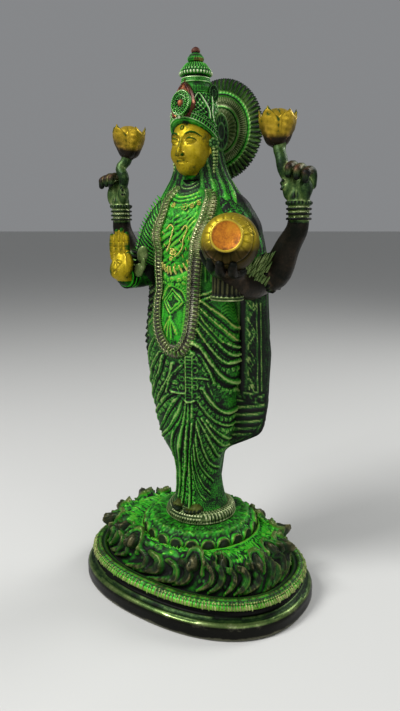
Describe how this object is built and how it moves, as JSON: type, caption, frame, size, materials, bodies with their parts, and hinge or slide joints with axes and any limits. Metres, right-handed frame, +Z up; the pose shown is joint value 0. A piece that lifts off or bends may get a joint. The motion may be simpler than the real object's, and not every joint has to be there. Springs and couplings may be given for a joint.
{
  "type": "dhanvantari statue",
  "caption": "Standing many-armed deity in cast brass with green patina, crown and halo, holding lotus buds and a pot, on an oval plinth carved with waves.",
  "frame": {"origin": "middle of the plinth's underside, under the middle of the bounding box", "axes": "+Z up, the figure faces -Y, and +X is towards the figure's own left side, where it holds the pot"},
  "size_m": [0.18, 0.134, 0.38],
  "materials": {
    "figure": "dark bronze patina with green verdigris in the hollows and polished face, buds, palm and pot",
    "plinth": "green verdigris over dark bronze, glossy black-brown moulded skirt"
  },
  "bodies": {
    "root": {"figure": "figure", "plinth": "plinth"}
  },
  "joints": []
}
